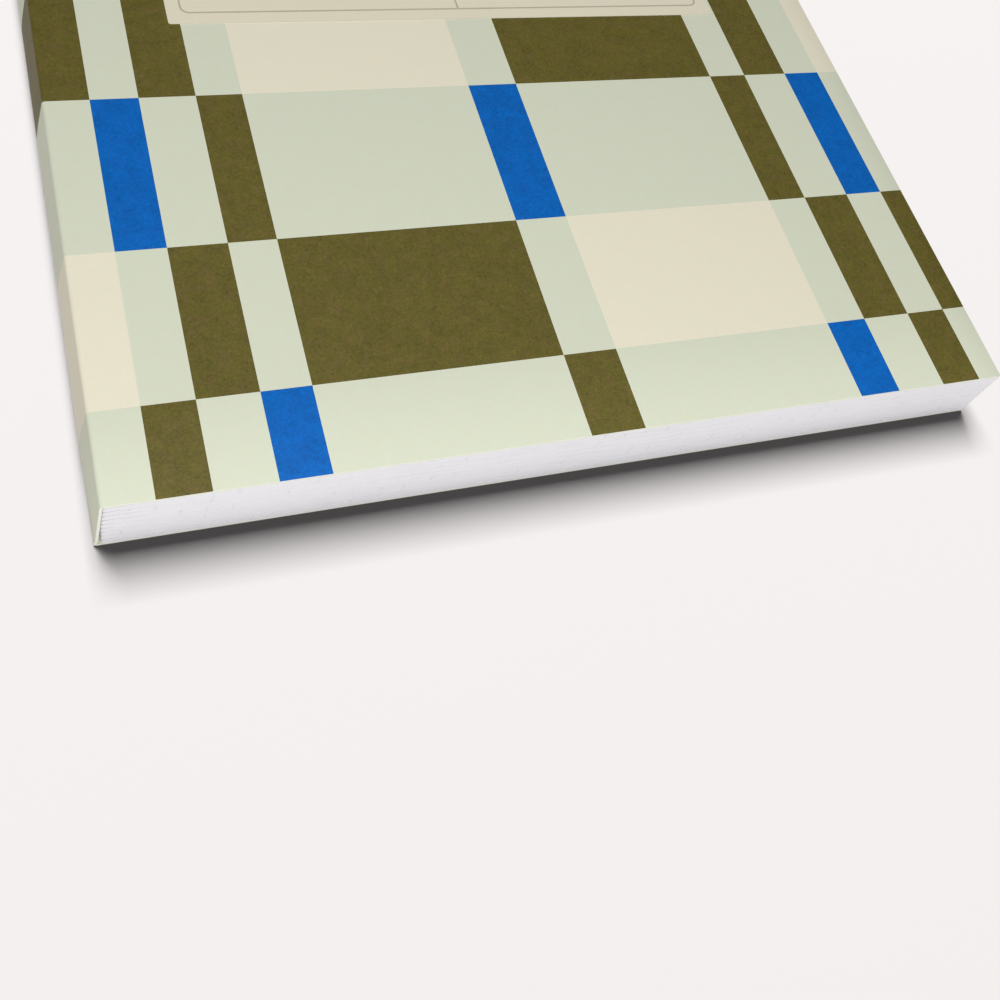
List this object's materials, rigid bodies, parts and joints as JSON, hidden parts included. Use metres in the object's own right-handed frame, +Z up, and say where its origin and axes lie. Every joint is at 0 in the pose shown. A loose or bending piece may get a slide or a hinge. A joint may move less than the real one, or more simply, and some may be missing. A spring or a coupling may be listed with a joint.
{
  "type": "weekly planner",
  "caption": "Soft-covered A5 book with a sewn page block, a folded card cover printed with an uneven check, and a blank title label.",
  "frame": {"origin": "under the middle of the closed planner, on the surface that it lies on", "axes": "+X from the spine to the fore-edge, +Y from the tail edge to the head edge, +Z up from the back cover to the front cover"},
  "size_m": [0.1492, 0.21, 0.0122],
  "materials": {
    "pages": "uncoated white paper, trimmed edges",
    "mint_card": "uncoated printed card, pale mint",
    "cream_ink": "uncoated printed card, cream",
    "olive_ink": "uncoated printed card, dark olive",
    "blue_ink": "uncoated printed card, strong blue",
    "label_paper": "uncoated cream label paper",
    "rule_ink": "thin printed rule on label paper"
  },
  "bodies": {
    "block": {"page_block": "pages", "spine_cover": "mint_card", "spine_olive_print": "olive_ink", "spine_cream_print": "cream_ink"},
    "front": {"front_cover": "mint_card", "title_label": "label_paper", "label_rule": "rule_ink", "front_olive_print": "olive_ink", "front_blue_print": "blue_ink", "front_cream_print": "cream_ink"},
    "back": {"back_cover": "mint_card", "back_olive_print": "olive_ink", "back_blue_print": "blue_ink", "back_cream_print": "cream_ink"}
  },
  "joints": [
    {"name": "front_fold", "type": "hinge", "parent": "block", "child": "front", "pos_m": [-0.0734, 0, 0.0119], "axis": [0, -1, 0], "range_deg": [0, 180]},
    {"name": "back_fold", "type": "hinge", "parent": "block", "child": "back", "pos_m": [-0.0746, 0, 0.0002], "axis": [0, 1, 0], "range_deg": [0, 180]}
  ]
}
